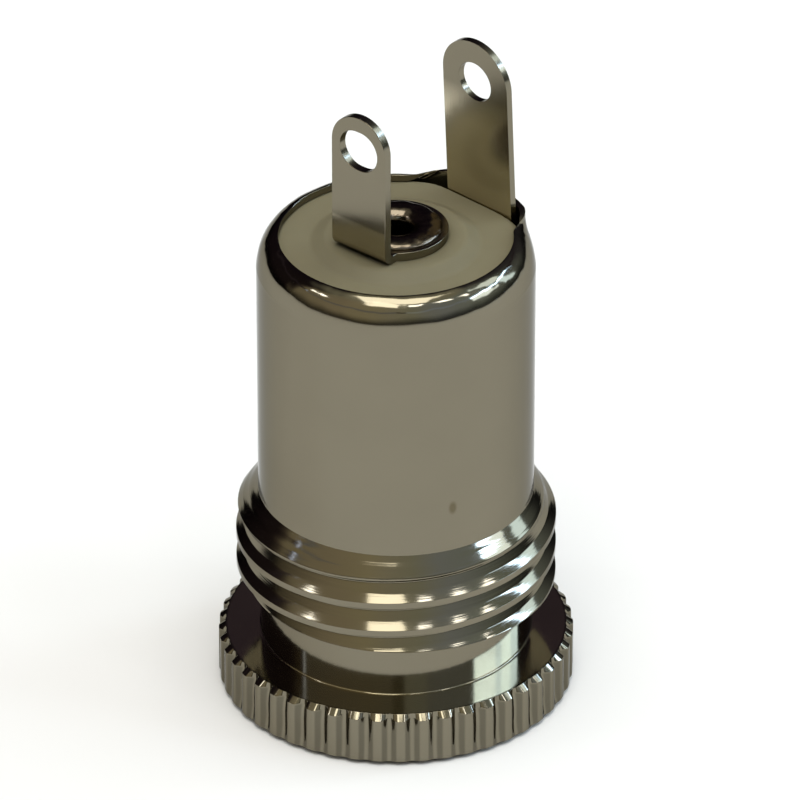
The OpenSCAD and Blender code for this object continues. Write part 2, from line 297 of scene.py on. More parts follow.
# The thread's upper flank, steep beside the crest and flatter in the wide rounded root: (slope in degrees, number of
# rows, share of the pitch that each row takes)
UPPER_FLANK = (
    (50, 1, 0.03), (49, 1, 0.04), (48, 2, 0.04), (47, 1, 0.04), (45, 1, 0.03),
    (44, 1, 0.006), (30, 1, 0.006), (29, 5, 0.05), (26, 1, 0.02),
)
# The crest's edge: share of the pitch and depth. After the upper flank: where the root is deepest, by how much, and
# where the lower flank starts
CREST_EDGE = (0.01, 0.012)
ROOT_START, ROOT_END, ROOT_DEPTH, LOWER_FLANK = 0.012, 0.022, 0.004, 0.058
LOWER_FLANK_ROWS = 4
# Turns drawn, past both ends, and how far inside the ends their rows are held
TURNS = range(-1, 5)
END_GAP = 0.012 * MM


def thread_rows(s):
    """The thread's rows from crest to crest: (share of the pitch, depth of the groove there)."""
    crest = s.thread_crest / s.thread_pitch / 2
    edge, edge_depth = CREST_EDGE
    share, depth = crest + edge, edge_depth
    rows = [(-crest, 0.0), (crest, 0.0), (share, depth)]
    for slope, count, step in UPPER_FLANK:
        for _ in range(count):
            share, depth = share + step, depth + step * math.tan(math.radians(slope))
            rows.append((share, depth))
    deepest = depth + ROOT_DEPTH
    rows += [(share + ROOT_START, deepest), (share + ROOT_END, deepest)]
    share += LOWER_FLANK
    width, rise = 1 - crest - edge - share, depth - edge_depth
    last = LOWER_FLANK_ROWS - 1
    rows += [(share + width * k / last, depth - rise * k / last) for k in range(LOWER_FLANK_ROWS)]
    return [(share, depth * s.thread_depth / deepest) for share, depth in rows]


def thread_depth_at(rows, share):
    """Depth of the thread's groove at any share of the pitch."""
    share = (share - rows[0][0]) % 1.0 + rows[0][0]
    for (low, deep), (high, next_deep) in zip(rows, rows[1:] + [(1 + rows[0][0], rows[0][1])]):
        if share <= high:
            return deep + (next_deep - deep) * (share - low) / (high - low)
    return 0.0


# The roll's slope at its start and end, the number of steps between them, and how late it bends most
ROLL_SLOPES = (math.radians(9), math.radians(78))
ROLL_STEPS, ROLL_LATENESS = 16, 1.8
# How far the rim's inside closes in towards the lip
INNER_ROLL = 0.32 * MM


def rolled_and_straight(s):
    """Matching outlines of the rim, from the tube's outside over the lip to the rear bore: rolled and straight."""
    top = SHELL_HIGH[2]
    bore = s.tube_radius - s.rim_wall
    start, end = ROLL_SLOPES
    step = s.roll_length / ROLL_STEPS
    rolled = [(s.tube_radius, s.roll_start), (s.tube_radius - 0.004 * MM, s.roll_start + 0.03 * MM)]
    r, z = rolled[-1]
    for k in range(1, ROLL_STEPS + 1):
        # the rim leaves the tube slowly and rolls over more and more sharply
        a = start + (end - start) * ((k - 0.5) / ROLL_STEPS) ** ROLL_LATENESS
        r, z = r - step * math.sin(a), z + step * math.cos(a)
        rolled.append((r, z))
    under = z - s.rim_wall
    rolled += rounded([
        (r, z, 0),
        (s.lip_radius, z + 0.005 * MM, FINE_EDGE),
        (s.lip_radius, under, FINE_EDGE),
        (s.lip_radius + 0.1 * MM, under, 0),
    ])[1:]
    fall = (under - s.roll_start) / 5
    rolled += [(bore - INNER_ROLL * (1 - k / 4) ** 2, under - fall * k) for k in range(1, 5)]
    straight = rounded([
        (s.tube_radius, s.roll_start, 0),
        (s.tube_radius, top, EDGE),
        (bore, top, EDGE),
        (bore, s.roll_start, 0),
    ])
    # as many points on the straight outline as on the rolled one: the extra ones lie on its outer side
    extra = len(rolled) - len(straight)
    rise = top - EDGE - s.roll_start
    outer = [(s.tube_radius, s.roll_start + rise * k / (extra + 1)) for k in range(extra + 1)]
    return rolled, outer + straight[1:]


def rim_push(spot):
    """How far the rolling tool pushed the rim at a spot in millimetres: bumps under 1 mm wide on slow waves."""
    bumps = noise.noise(spot * 1.5) + 0.25 * noise.noise(spot * 3.6 + Vector((7, 3, 1)))
    return bumps + 0.6 * noise.noise(spot * 0.7 + Vector((2, 9, 4)))


def build_shell(s):
    """The one-piece shell: knurled head, relief, helical thread, tube, rolled rim and the bores inside."""
    mesh = bmesh.new()
    angles = ridge_angles(s.ridges)
    head, flat = SHELL_HIGH[0], SHELL_HIGH[0] - s.head_chamfer_width
    groove = head - s.ridge_depth
    side_top = s.head_height - s.head_chamfer
    mouth_edge = s.mouth_radius + s.mouth_chamfer

    # front face, knurled side, head top, relief and the threaded part's first edge
    first = rounded([
        (mouth_edge, 0, 0),
        (flat, 0, FINE_EDGE),
        (head, s.head_chamfer, FINE_EDGE),
        *[(head, s.head_chamfer + (side_top - s.head_chamfer) * k / 6, 0) for k in range(1, 6)],
        (head, side_top, FINE_EDGE),
        (flat, s.head_height, FINE_EDGE),
        *[(groove - inwards * MM, s.head_height, 0) for inwards in (0.03, 0.08, 0.3)],
        (s.relief_radius + 0.1 * MM, s.head_height, 0),
        (s.relief_radius, s.head_height, 0.035 * MM),
        (s.relief_radius, s.relief_top, FINE_EDGE),
        (s.relief_radius + 0.1 * MM, s.relief_top, 0),
    ], steps=3)

    def knurl(r, z, angle, row):
        """Cuts the ridges into the head's side."""
        if z > s.head_height or r < groove:
            return r, z
        # the wheel pressed the grooves deepest at the top edge, and hardly reached the lower one
        depth = s.ridge_depth * (0.25 + 0.35 * smooth(z / MM, 0.1, 0.6) + 0.4 * smooth(z / MM, 1.25, 1.6))
        return soft_least(r, ridge_radius(angle, s.ridges, head, depth), 0.02 * MM), z

    below = turned(mesh, first, angles, knurl)[-1]

    # threaded part: its rows climb with the helix, and are held just inside its two ends
    low, high = s.relief_top + END_GAP, s.chamfer_end - END_GAP
    pattern = thread_rows(s)

    def thread_radius_at(z, climb):
        """Radius of the threaded part and its chamfer, at a height and a share of the turn."""
        share = (z - s.thread_lift) / s.thread_pitch - climb
        cone = (z - s.chamfer_start) / (s.chamfer_end - s.chamfer_start)
        body = soft_least(s.thread_radius, s.thread_radius - cone * (s.thread_radius - s.tube_radius), 0.1 * MM)
        # the tool left faint rings on the chamfer
        body += s.tool_marks * math.cos(2 * math.pi * z / s.tool_feed) * smooth(cone, 0, 0.2) * smooth(cone, 1, 0.8)
        cut = s.thread_radius - thread_depth_at(pattern, share)
        return max(soft_least(body, cut, 0.01 * MM), s.tube_radius)

    per_turn, count = len(pattern), len(angles)
    rings = []
    for turn_number in TURNS:
        for share, _ in pattern:
            ring = []
            for a in angles:
                climb = (a - angles[0]) / (2 * math.pi)
                z = s.thread_lift + (turn_number + share + climb) * s.thread_pitch
                z = min(max(z, low), high)
                ring.append(point_at(mesh, thread_radius_at(z, climb), a, z))
            rings.append(ring)
    foot = [mesh.verts.new((v.co.x, v.co.y, s.relief_top)) for v in rings[0]]
    neck = [point_at(mesh, s.tube_radius, a, s.chamfer_end) for a in angles]
    join_rings(mesh, [below, foot, rings[0]])
    join_rings(mesh, [rings[-1], neck])
    for j in range(len(rings) - 1):
        for i in range(count - 1):
            mesh.faces.new((rings[j][i], rings[j][i + 1], rings[j + 1][i + 1], rings[j + 1][i]))
        if j + per_turn + 1 < len(rings):
            above, next_above = rings[j + per_turn][0], rings[j + per_turn + 1][0]
            mesh.faces.new((rings[j][-1], above, next_above, rings[j + 1][-1]))

    # tube, rim and bores
    rolled, straight = rolled_and_straight(s)
    bore = s.tube_radius - s.rim_wall
    before = [(s.tube_radius, s.chamfer_end), (s.tube_radius, s.chamfer_end + 0.1 * MM)]
    before += [(s.tube_radius, s.chamfer_end + (s.roll_start - s.chamfer_end) * k / 6) for k in range(1, 6)]
    after = rounded([
        (bore, s.roll_start - 0.1 * MM, 0),
        (bore, s.shoulder, EDGE),
        (s.chamber_radius, s.shoulder, EDGE),
        (s.chamber_radius, s.mouth_length, EDGE),
        (s.mouth_radius, s.mouth_length, EDGE),
        (s.mouth_radius, s.mouth_chamfer, 0.04 * MM),
        (mouth_edge, 0, 0),
    ])
    rows = before + rolled + after
    first_rim, rim_count = len(before), len(rolled)

    def rim(r, z, angle, row):
        """Goes from the rolled to the straight outline beside the lug, and adds the unevenness."""
        k = row - first_rim
        if not 0 <= k < rim_count:
            return r, z
        off = abs((angle - s.straight_middle + math.pi) % (2 * math.pi) - math.pi)
        share = 1 - smooth(off, s.straight_half - s.straight_blend / 3, s.straight_half + s.straight_blend)
        r2, z2 = straight[k]
        r, z = r + (r2 - r) * share, z + (z2 - z) * share
        # only the bead is uneven, from the rows where it starts to bend to those under the lip
        depth = s.rim_unevenness * smooth(k, 4, 11) * (1 - smooth(k, rim_count - 9, rim_count - 5))
        push = depth * rim_push(Vector((r * math.cos(angle), r * math.sin(angle), z)) / MM)
        return r + push * 0.7, z + push * 0.8 - depth

    turned(mesh, rows, angles, rim)
    return mesh


class JACK_OT_shell(bpy.types.Operator):
    """Build the turned shell with its knurl, thread and rolled rim"""

    bl_idname = "jack.shell"
    bl_label = "Shell"

    def execute(self, context):
        sizes = context.scene.jack_shell
        metal = turned_nickel(context.scene.jack_finishes, sizes)
        make_piece("turned_shell", build_shell(sizes), metal, "shell")
        return {"FINISHED"}


# -------- insulator


# Room between the insulator and its metal, radii of its nose and of the collar's hole, and the gap under its seat
FIT = 0.02 * MM
NOSE_RADIUS, COLLAR_HOLE = 2.2 * MM, 1.52 * MM
SEAT_GAP = 0.26 * MM


def build_insulator(s, shell):
    """The moulded plug: low raised centre, rounded edge under the rolled lip, nose and one flat."""
    radius = shell.tube_radius - shell.rim_wall - FIT
    seat = shell.shoulder + SEAT_GAP
    hub_top, nose = PLUG_HIGH[2], PLUG_LOW[2]
    hole = s.stem_radius + FIT
    outline = rounded([
        (hole, hub_top, 0),
        (s.hub_radius, hub_top, 0.35 * MM),
        (s.hub_radius + s.hub_slope, s.face_height, 0.35 * MM),
        (radius, s.face_height, s.edge_radius),
        (radius, seat + 0.04 * MM, 0),
        (radius, seat, 0),
        (NOSE_RADIUS, seat, EDGE),
        (NOSE_RADIUS, nose, 0.1 * MM),
        (COLLAR_HOLE, nose, 0),
        (COLLAR_HOLE, nose + s.collar_height, 0),
        (hole, nose + s.collar_height, 0),
    ], steps=8)

    def flat(r, z, angle, row):
        """Cuts the flat for the sleeve lug."""
        reach = PLUG_HIGH[1] / math.sin(angle) if math.sin(angle) > 0.5 else r
        return soft_least(r, reach, 0.02 * MM) if reach < r else r, z

    mesh = bmesh.new()
    turned(mesh, outline, fan(256), flat, closed=True)
    return mesh


class JACK_OT_insulator(bpy.types.Operator):
    """Build the moulded insulator"""

    bl_idname = "jack.insulator"
    bl_label = "Insulator"

    def execute(self, context):
        scene = context.scene
        mesh = build_insulator(scene.jack_inner, scene.jack_shell)
        nylon = moulded_nylon(scene.jack_finishes)
        make_piece("moulded_insulator", mesh, nylon, "rear_insulator")
        return {"FINISHED"}


# -------- centre pin


# Height of the bead's foot over the terminal, how far the bead turns into the bore and down it, and where that ends
BEAD_FOOT, BEAD_IN, BEAD_DOWN, BORE_START = 0.04 * MM, 0.46 * MM, 0.36 * MM, 0.6 * MM
TIP_CHAMFER, TIP_EDGE = 0.35 * MM, 0.08 * MM


def build_pin(s):
    """The turned pin: chamfered tip, collar, stem and hollow end flared and rolled over its terminal."""
    tip, crest = PIN_LOW[2], PIN_HIGH[2]
    collar, pin = PIN_HIGH[0], s.pin_radius
    nose = PLUG_LOW[2]
    seat = PLUG_HIGH[2] + s.sheet
    flange, ridge = s.flange_radius, s.crest_radius
    # the rolled end is a rounded bead: an arc from its rim up to its crest, and one down into the bore
    edge = seat + BEAD_FOOT
    quarter = [math.pi / 2 * k / 8 for k in range(9)]
    outline = rounded([
        (0, tip, 0),
        (pin - TIP_CHAMFER, tip, TIP_EDGE),
        (pin, tip + TIP_CHAMFER, TIP_EDGE),
        (pin, nose, 0),
        (collar, nose, EDGE),
        (collar, nose + s.collar_height, EDGE),
        (s.stem_radius, nose + s.collar_height, 0),
        (s.stem_radius, seat, 0),
        (flange, seat, 0),
        *[(ridge + (flange - ridge) * math.cos(a), edge + (crest - edge) * math.sin(a), 0) for a in quarter],
        *[(ridge - BEAD_IN * math.sin(a), crest - BEAD_DOWN * (1 - math.cos(a)), 0) for a in quarter[1:]],
        (s.tail_bore, seat - BORE_START, 0),
        (s.tail_bore, seat - s.tail_depth, 0),
        (0, seat - s.tail_depth - s.tail_bore, 0),
    ])

    def creases(r, z, angle, row):
        """Adds the folds that riveting left on the rolled end."""
        rise = smooth(z, seat + 0.01 * MM, seat + 0.1 * MM)
        spot = Vector((math.cos(angle) * 1.7, math.sin(angle) * 1.7, r / MM * 1.2))
        fold = noise.noise(spot) + 0.7 * noise.noise(spot * 2.6 + Vector((5, 1, 8)))
        return r * (1 + 0.02 * fold * rise), z + (0.022 * fold - 0.02) * rise * MM

    mesh = bmesh.new()
    turned(mesh, outline, fan(288), creases)
    return mesh


class JACK_OT_pin(bpy.types.Operator):
    """Build the centre pin with its rolled rear end"""

    bl_idname = "jack.pin"
    bl_label = "Centre pin"

    def execute(self, context):
        scene = context.scene
        metal = rolled_pin_nickel(scene.jack_finishes)
        make_piece("rolled_pin", build_pin(scene.jack_inner), metal, "centre_pin")
        return {"FINISHED"}


# -------- stamped terminals


# Start, end and steps of the arc that makes a round hole, one step short of a full turn
ROUND_HOLE = (0, 360 - 360 / 64, 63)


def arc(centre, radius, start, end, steps):
    """Points on an arc about centre, angles in degrees."""
    points = []
    for k in range(steps + 1):
        a = math.radians(start + (end - start) * k / steps)
        points.append((centre[0] + radius * math.cos(a), centre[1] + radius * math.sin(a)))
    return points


def bent_path(corners, radius, steps=7):
    """A strip's middle line through (y, z) corners, bent with one radius: list of (distance, point, direction)."""
    points = [Vector(p) for p in rounded([(y, z, radius) for y, z in corners], steps)]
    legs = [ahead - here for here, ahead in zip(points, points[1:])]
    path, run = [], 0.0
    for p, back, ahead in zip(points, [None, *legs], [*legs, None]):
        run += back.length if back else 0.0
        directions = [leg.normalized() for leg in (back or ahead, ahead or back)]
        path.append((run, p, (directions[0] + directions[1]).normalized()))
    return path


def on_path(path, run, off):
    """The (y, z) place at a distance along a bent path, off to its left side."""
    for (a, p, d), (b, q, e) in zip(path, path[1:]):
        if run <= b or b == path[-1][0]:
            t = (run - a) / (b - a)
            middle = p + (q - p) * t
            ahead = (d + (e - d) * min(max(t, 0), 1)).normalized()
            return middle + Vector((-ahead.y, ahead.x)) * off
    return path[-1][1]


# A bend's cut this near to a point goes through it
SAME_CUT = 1e-8


def stamped(outline, holes, path, sheet, sideways=0.0):
    """A sheet cut to an outline with holes, given as (x, distance) points, bent along a path and given thickness."""
    mesh = bmesh.new()
    edges = []
    for loop in [outline, *holes]:
        points = [mesh.verts.new((x, run, 0)) for x, run in loop]
        edges += [mesh.edges.new((points[i], points[(i + 1) % len(points)])) for i in range(len(points))]
    bmesh.ops.triangle_fill(mesh, edges=edges, use_beauty=True, use_dissolve=False)
    for run, _, _ in path[1:-1]:
        everything = [*mesh.verts, *mesh.edges, *mesh.faces]
        bmesh.ops.bisect_plane(mesh, geom=everything, plane_co=(0, run, 0), plane_no=(0, 1, 0), dist=SAME_CUT)
    made = bmesh.ops.extrude_face_region(mesh, geom=list(mesh.faces))
    upper = {v for v in made["geom"] if isinstance(v, bmesh.types.BMVert)}
    for v in mesh.verts:
        off = sheet / 2 if v in upper else -sheet / 2
        y, z = on_path(path, v.co.y, off)
        v.co = (v.co.x + sideways, y, z)
    return mesh


def round_edges(piece, width):
    """Rounds the stamped edges a little."""
    step = piece.modifiers.new("Stamped edge", "BEVEL")
    step.width = width
    step.segments = 3
    step.limit_method = "ANGLE"
    step.angle_limit = math.radians(50)
    step.harden_normals = True


def build_pin_terminal(s):
    """Ring under the pin's rolled end, bent up into a lug with an oval hole."""
    ring, half = s.ring_radius, s.tab_width / 2
    seat, upright = PLUG_HIGH[2] + s.sheet / 2, s.sheet / 2 - s.tab_face
    path = bent_path([(ring, seat), (upright, seat), (upright, TAB_HIGH[2])], s.bend_radius)
    end = path[-1][0]
    neck = math.degrees(math.asin(half / ring))
    straight = (s.tab_hole_width - s.tab_hole_height) / 2
    hole_r = s.tab_hole_height / 2
    middle = end - s.tab_hole_setback
    # the outline's second coordinate is the distance along the strip, from the ring's far side
    outline = arc((0, ring), ring, 90 - neck, -270 + neck, 90) + arc((0, end - half), half, 180, 0, 48)
    oval = arc((straight, middle), hole_r, 90, -90, 24) + arc((-straight, middle), hole_r, -90, -270, 24)
    stem = arc((0, ring), s.stem_radius + FIT, *ROUND_HOLE)
    mesh = stamped(outline, [oval, stem], path, s.sheet)
    bmesh.ops.rotate(mesh, verts=mesh.verts, cent=(0, 0, 0), matrix=Matrix.Rotation(s.tab_turn, 3, "Z"))
    return mesh


# Where the spring leaf hangs from the shoulder, bears on the plug and ends, as (distance from the axis, height)
LEAF_ROOT, LEAF_CONTACT, LEAF_TIP = 2.95 * MM, (2.73 * MM, 4.6 * MM), (3.03 * MM, 3.4 * MM)
LEAF_BEND = 0.16 * MM
# Length over which the strip narrows to the leaf
LEAF_TAPER = 0.45 * MM


def build_sleeve_terminal(s, shell):
    """Lug in the insulator's flat, strip down to the shell's shoulder and spring leaf to the plug."""
    middle = PLUG_HIGH[1] + s.strap_gap + s.strap_sheet / 2
    half = (STRAP_HIGH[0] - STRAP_LOW[0]) / 2
    lug, lean = s.strap_length, s.strap_lean
    seat = shell.shoulder + s.strap_sheet / 2
    corners = [
        (middle - lug * math.sin(lean), s.face_height + lug * math.cos(lean)),
        (middle, s.face_height),
        (middle, seat),
        (LEAF_ROOT, seat),
        (LEAF_ROOT, seat - 0.5 * MM),
        LEAF_CONTACT,
        LEAF_TIP,
    ]
    path = bent_path(corners, LEAF_BEND, 5)
    end = path[-1][0]
    shoulder = next(run for run, place, _ in path if place.y < seat + 0.01 * MM)
    narrow = s.leaf_width / 2
    outline = arc((0, half), half, 0, -180, 48)
    outline += [(-half, shoulder), (-narrow, shoulder + LEAF_TAPER), (-narrow, end), (narrow, end)]
    outline += [(narrow, shoulder + LEAF_TAPER), (half, shoulder)]
    hole = arc((0, s.strap_hole_setback), s.strap_hole, *ROUND_HOLE)
    side = (STRAP_LOW[0] + STRAP_HIGH[0]) / 2
    return stamped(outline, [hole], path, s.strap_sheet, sideways=side)


# Each lug's painted light, a paler zone on its front: its top, the height over which it fades, and how much paler it
# is
PIN_LUG_PAINTED_LIGHT, SLEEVE_LUG_PAINTED_LIGHT = (16.85 * MM, 0.1 * MM, 2.0), (18.3 * MM, 1.2 * MM, 2.9)


class JACK_OT_terminals(bpy.types.Operator):
    """Build the two stamped terminals with their solder lugs"""

    bl_idname = "jack.terminals"
    bl_label = "Terminals"

    def execute(self, context):
        scene = context.scene
        s = scene.jack_inner
        lugs = (
            ("pin_lug", build_pin_terminal(s), "pin_terminal", PIN_LUG_PAINTED_LIGHT),
            ("sleeve_lug", build_sleeve_terminal(s, scene.jack_shell), "sleeve_terminal", SLEEVE_LUG_PAINTED_LIGHT),
        )
        for name, mesh, node, zone in lugs:
            # each lug gets its own copy of the metal, carrying its painted paler foot
            metal = stamped_nickel(scene.jack_finishes, name.replace("_", " "), *zone)
            piece = make_piece(name, mesh, metal, node, weighted=False)
            round_edges(piece, s.sheet_edge)
        return {"FINISHED"}


# -------- finishes

# Clouds in the plating, the thread's middle height and half length, the painted paler zone on the head, the dried
# spot, and half the floor's side
CLOUD_WIDTH = 3.0 * MM
THREAD_MIDDLE, THREAD_HALF = 5.2 * MM, 1.66 * MM
HEAD_FACE_RADIUS, PAINTED_LIGHT_FADE = 5.25 * MM, 0.04 * MM
SPOT_PLACE = Matrix.Rotation(math.radians(-22.6), 3, "Z") @ Vector((4.257, 0, 8.38)) * MM
SPOT_SIZE = (0.13 * MM, 0.13 * MM, 0.22 * MM)
FLOOR_HALF = 1.2

# Settings that several nodes share
MULTIPLY, LENGTH, LESS = {"operation": "MULTIPLY"}, {"operation": "LENGTH"}, {"operation": "LESS_THAN"}
COLOURS = {"data_type": "RGBA"}
EASED = {"interpolation_type": "SMOOTHSTEP"}


def add_node(tree, kind, settings=None, inputs=()):
    """Adds a node with its settings, and gives each input a value or a link; a list fills the inputs in order.

    A node given as a value stands for its first output in use.
    """
    node = tree.nodes.new("ShaderNode" + kind)
    for name, value in (settings or {}).items():
        setattr(node, name, value)
    in_use = [socket for socket in node.inputs if socket.enabled]
    for key, value in inputs.items() if isinstance(inputs, dict) else enumerate(inputs):
        socket = node.inputs[key] if isinstance(key, str) else in_use[key]
        if isinstance(value, bpy.types.Node):
            value = next(out for out in value.outputs if out.enabled)
        if isinstance(value, bpy.types.NodeSocket):
            tree.links.new(value, socket)
        else:
            socket.default_value = value
    return node


def new_material(name):
    """An empty node material, its tree, and the place that its patterns are laid out by."""
    material = bpy.data.materials.new(name)
    material.use_nodes = True
    tree = material.node_tree
    tree.nodes.clear()
    return material, tree, add_node(tree, "TexCoord").outputs["Object"]


def shaded(material, look_of_it):
    """The material with its look put on one shader."""
    shader = add_node(material.node_tree, "BsdfPrincipled", inputs=look_of_it)
    add_node(material.node_tree, "OutputMaterial", inputs={"Surface": shader})
    return material


def rgba(colour, shade=1.0):
    """A picked colour as a socket value, made lighter or darker."""
    return (*[min(c * shade, 1.0) for c in colour], 1.0)


def distance_from_axis(tree, place):
    """How far each point is from the jack's axis."""
    flat = add_node(tree, "VectorMath", MULTIPLY, [place, (1, 1, 0)])
    return add_node(tree, "VectorMath", LENGTH, [flat])


def plated_metal(name, colour, roughness, ripple, line, turned_part=False, zones=None):
    """Bright nickel over brass: a warm mirror, with slow ripple of the plating and fine lines of the tool below it.

    ripple and line are pairs of a width and a strength; zones may repaint some places, given tree, place and tint.
    """
    material, tree, place = new_material(name)
    # clouds where the plating is slightly duller
    cloud = add_node(tree, "TexNoise", inputs={"Vector": place, "Scale": 1 / CLOUD_WIDTH, "Detail": 3.0})
    tint = add_node(tree, "Mix", COLOURS, [cloud, rgba(colour, 0.93), rgba(colour, 1.07)])
    rough = add_node(tree, "MapRange", inputs=[cloud, 0.3, 0.7, roughness * 0.8, roughness * 1.2])
    if zones:
        tint = zones(tree, place, tint)
    (ripple_width, ripple_strength), (line_width, line_strength) = ripple, line
    along, stretch = place, (1 / line_width, 1 / line_width, 1 / (40 * line_width))
    if turned_part:
        # lathe lines run round the axis, so they change with radius and height only
        height = add_node(tree, "SeparateXYZ", inputs=[place]).outputs["Z"]
        along = add_node(tree, "CombineXYZ", inputs={"X": distance_from_axis(tree, place), "Z": height})
        stretch = (1 / line_width,) * 3
        # only the threaded part was cut with a pointed tool; the head and the tube are smooth
        cut = add_node(tree, "Math", {"operation": "COMPARE"}, [height, THREAD_MIDDLE, THREAD_HALF])
        line_strength = add_node(tree, "Math", MULTIPLY, [cut, line_strength])
    fine = add_node(tree, "Mapping", inputs={"Vector": along, "Scale": stretch})
    lines = add_node(tree, "TexNoise", inputs={"Vector": fine, "Scale": 1.0, "Detail": 2.0})
    slow = add_node(tree, "TexNoise", inputs={"Vector": place, "Scale": 1 / ripple_width, "Detail": 1.0})
    bump = add_node(tree, "Bump", inputs={"Height": slow, "Strength": ripple_strength, "Distance": 0.02 * MM})
    tooled = {"Height": lines, "Strength": line_strength, "Distance": 0.01 * MM, "Normal": bump}
    return shaded(material, {
        "Base Color": tint,
        "Metallic": 1.0,
        "Roughness": rough,
        "Specular Tint": linear("C4C4C4"),
        "Normal": add_node(tree, "Bump", inputs=tooled),
    })


def turned_nickel(finishes, sizes):
    """Bright nickel on turned brass: mirror-like, with lathe lines on the threaded end, one dried spot, a painted
    paler head top and painted shade on the knurl's flanks.
    """

    def zones(tree, place, tint):
        """Painted light on the head's top face, painted shade on the knurl's flanks, and the dried spot."""
        x, y, height = add_node(tree, "SeparateXYZ", inputs=[place]).outputs
        radius = distance_from_axis(tree, place)
        # painted light: the head's top face mirrors other metal, which dims it, so it is painted paler than its
        # plating
        top = sizes.head_height + PAINTED_LIGHT_FADE / 2
        low = add_node(tree, "MapRange", inputs=[height, top, top + PAINTED_LIGHT_FADE, 1.0, 0.0])
        inside = add_node(tree, "Math", LESS, [radius, HEAD_FACE_RADIUS])
        mask = add_node(tree, "Math", MULTIPLY, [low, inside])
        tint = add_node(tree, "Mix", COLOURS, [mask, tint, rgba(finishes.nickel, 1.9)])
        # painted shade: the knurl's flanks are painted darker than the ridges and the grooves' floors
        angle = add_node(tree, "Math", {"operation": "ARCTAN2"}, [y, x])
        turns = add_node(tree, "Math", MULTIPLY, [angle, sizes.ridges / (2 * math.pi)])
        share = add_node(tree, "Math", {"operation": "PINGPONG"}, [turns, 0.5])
        mask = add_node(tree, "Math", {"operation": "GREATER_THAN"}, [radius, SHELL_HIGH[0] - 0.3 * MM])
        edges = ((share, 0.14, 0.24, 0.0, 1.0), (share, 0.36, 0.47, 1.0, 0.0))
        for edge in (*edges, (height, 1.55 * MM, 1.65 * MM, 0.36, 0.0)):
            mask = add_node(tree, "Math", MULTIPLY, [mask, add_node(tree, "MapRange", EASED, edge)])
        # painted shade: black mixed over the flanks, at most 0.36 of it, fading out towards the top edge
        tint = add_node(tree, "Mix", COLOURS, [mask, tint, linear("000000")])
        # a spot where a drop dried on the tube
        away = add_node(tree, "VectorMath", {"operation": "SUBTRACT"}, [place, SPOT_PLACE])
        scaled = add_node(tree, "VectorMath", {"operation": "DIVIDE"}, [away, SPOT_SIZE])
        reach = add_node(tree, "VectorMath", LENGTH, [scaled])
        mask = add_node(tree, "MapRange", inputs=[reach, 0.6, 1.2, 0.7, 0.0])
        return add_node(tree, "Mix", COLOURS, [mask, tint, rgba(finishes.smudge)])

    ripple, line = (1.6 * MM, 0.2), (0.06 * MM, 0.25)
    return plated_metal("Bright nickel on turned brass", finishes.nickel, 0.1, ripple, line, True, zones)


def rolled_pin_nickel(finishes):
    """Nickel stretched over the rolled end: darker, and wavy from the riveting."""
    ripple, line = (0.3 * MM, 0.8), (0.04 * MM, 0.1)
    return plated_metal("Stretched nickel on turned brass", finishes.pin_nickel, 0.18, ripple, line)


def stamped_nickel(finishes, part, top, blend, shade):
    """Bright nickel on rolled and stamped brass sheet: slow waves, faint lines along the sheet, and a painted paler
    foot on the lug's front.
    """

    def zones(tree, place, tint):
        """Painted light: a paler foot on the lug's front."""
        # painted light: a lug's front mirrors the dark metal at its foot, so up to this height it is painted paler
        height = add_node(tree, "SeparateXYZ", inputs=[place]).outputs["Z"]
        low = add_node(tree, "MapRange", inputs=[height, top, top + blend, 1.0, 0.0])
        facing = add_node(tree, "SeparateXYZ", inputs=[add_node(tree, "NewGeometry").outputs["Normal"]]).outputs["Y"]
        front = add_node(tree, "Math", LESS, [facing, -0.8])
        mask = add_node(tree, "Math", MULTIPLY, [low, front])
        return add_node(tree, "Mix", COLOURS, [mask, tint, rgba(finishes.sheet_nickel, shade)])

    ripple, line = (1.1 * MM, 0.4), (0.05 * MM, 0.1)
    name = f"Bright nickel on stamped brass, {part}"
    return plated_metal(name, finishes.sheet_nickel, 0.2, ripple, line, zones=zones)


def moulded_nylon(finishes):
    """Cream nylon from the mould: satin, slightly mottled, with a little light going in."""
    material, tree, place = new_material("Moulded cream nylon")
    mottle = add_node(tree, "TexNoise", inputs={"Vector": place, "Scale": 1 / (1.8 * MM), "Detail": 3.0})
    # the mould's spark-eroded grain is finer than can be seen, so it is drawn at 0.08 mm
    grain = add_node(tree, "TexNoise", inputs={"Vector": place, "Scale": 1 / (0.08 * MM), "Detail": 2.0})
    return shaded(material, {
        "Base Color": add_node(tree, "Mix", COLOURS, [mottle, *[rgba(finishes.nylon, k) for k in (0.88, 1.1)]]),
        "Roughness": 0.6,
        "IOR": 1.53,
        "Specular IOR Level": 0.25,
        "Subsurface Weight": 0.15,
        "Subsurface Radius": (1.0, 0.8, 0.5),
        "Subsurface Scale": 0.4 * MM,
        "Normal": add_node(tree, "Bump", inputs={"Height": grain, "Strength": 0.2, "Distance": 0.01 * MM}),
    })


def floor_card(finishes):
    """Matt white card: almost no shine, so only the jack's soft shadow shows on it."""
    material = new_material("Matt white card")[0]
    return shaded(material, {"Base Color": rgba(finishes.floor), "Roughness": 0.9, "Specular IOR Level": 0.1})


# -------- stage


def sight(azimuth, elevation):
    """Unit vector from the jack towards an azimuth, counted as the camera's, and an elevation."""
    flat = math.cos(elevation)
    return Vector((math.sin(azimuth) * flat, -math.cos(azimuth) * flat, math.sin(elevation)))


def look(obj, target):
    """Turns a lamp or camera towards a point, with its top up."""
    obj.rotation_euler = (target - obj.location).to_track_quat("-Z", "Y").to_euler()


